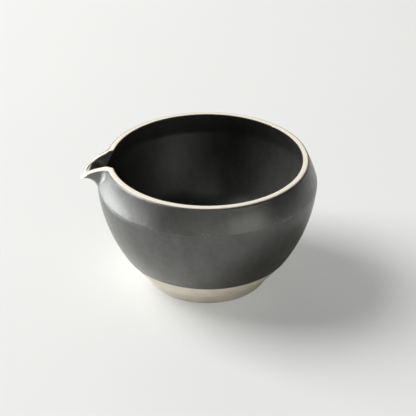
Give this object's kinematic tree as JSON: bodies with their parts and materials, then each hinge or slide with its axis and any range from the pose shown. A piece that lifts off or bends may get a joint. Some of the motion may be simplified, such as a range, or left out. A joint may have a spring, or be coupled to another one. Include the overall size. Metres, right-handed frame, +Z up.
{
  "type": "lipped pouring bowl",
  "caption": "Stoneware katakuchi: a small shouldered pouring bowl with an open beak spout, matt black glaze, bare rim and bare foot ring.",
  "frame": {"origin": "centre of the underside of the foot ring, on the axis of the bowl", "axes": "+Z up along the axis of the bowl, the spout points along -X"},
  "size_m": [0.1419, 0.1318, 0.08],
  "materials": {
    "bare_clay": "bare fired stoneware, fine and dry",
    "fired_slip": "fired slip, matt",
    "black_glaze": "satin matt black glaze"
  },
  "bodies": {
    "root": {"bowl_wall": "bare_clay", "foot_ring": "bare_clay", "foot_slip": "fired_slip", "spout": "bare_clay", "spout_slip": "fired_slip", "outer_glaze": "black_glaze", "inner_glaze": "black_glaze", "spout_outer_glaze": "black_glaze", "spout_channel_glaze": "black_glaze"}
  },
  "joints": []
}
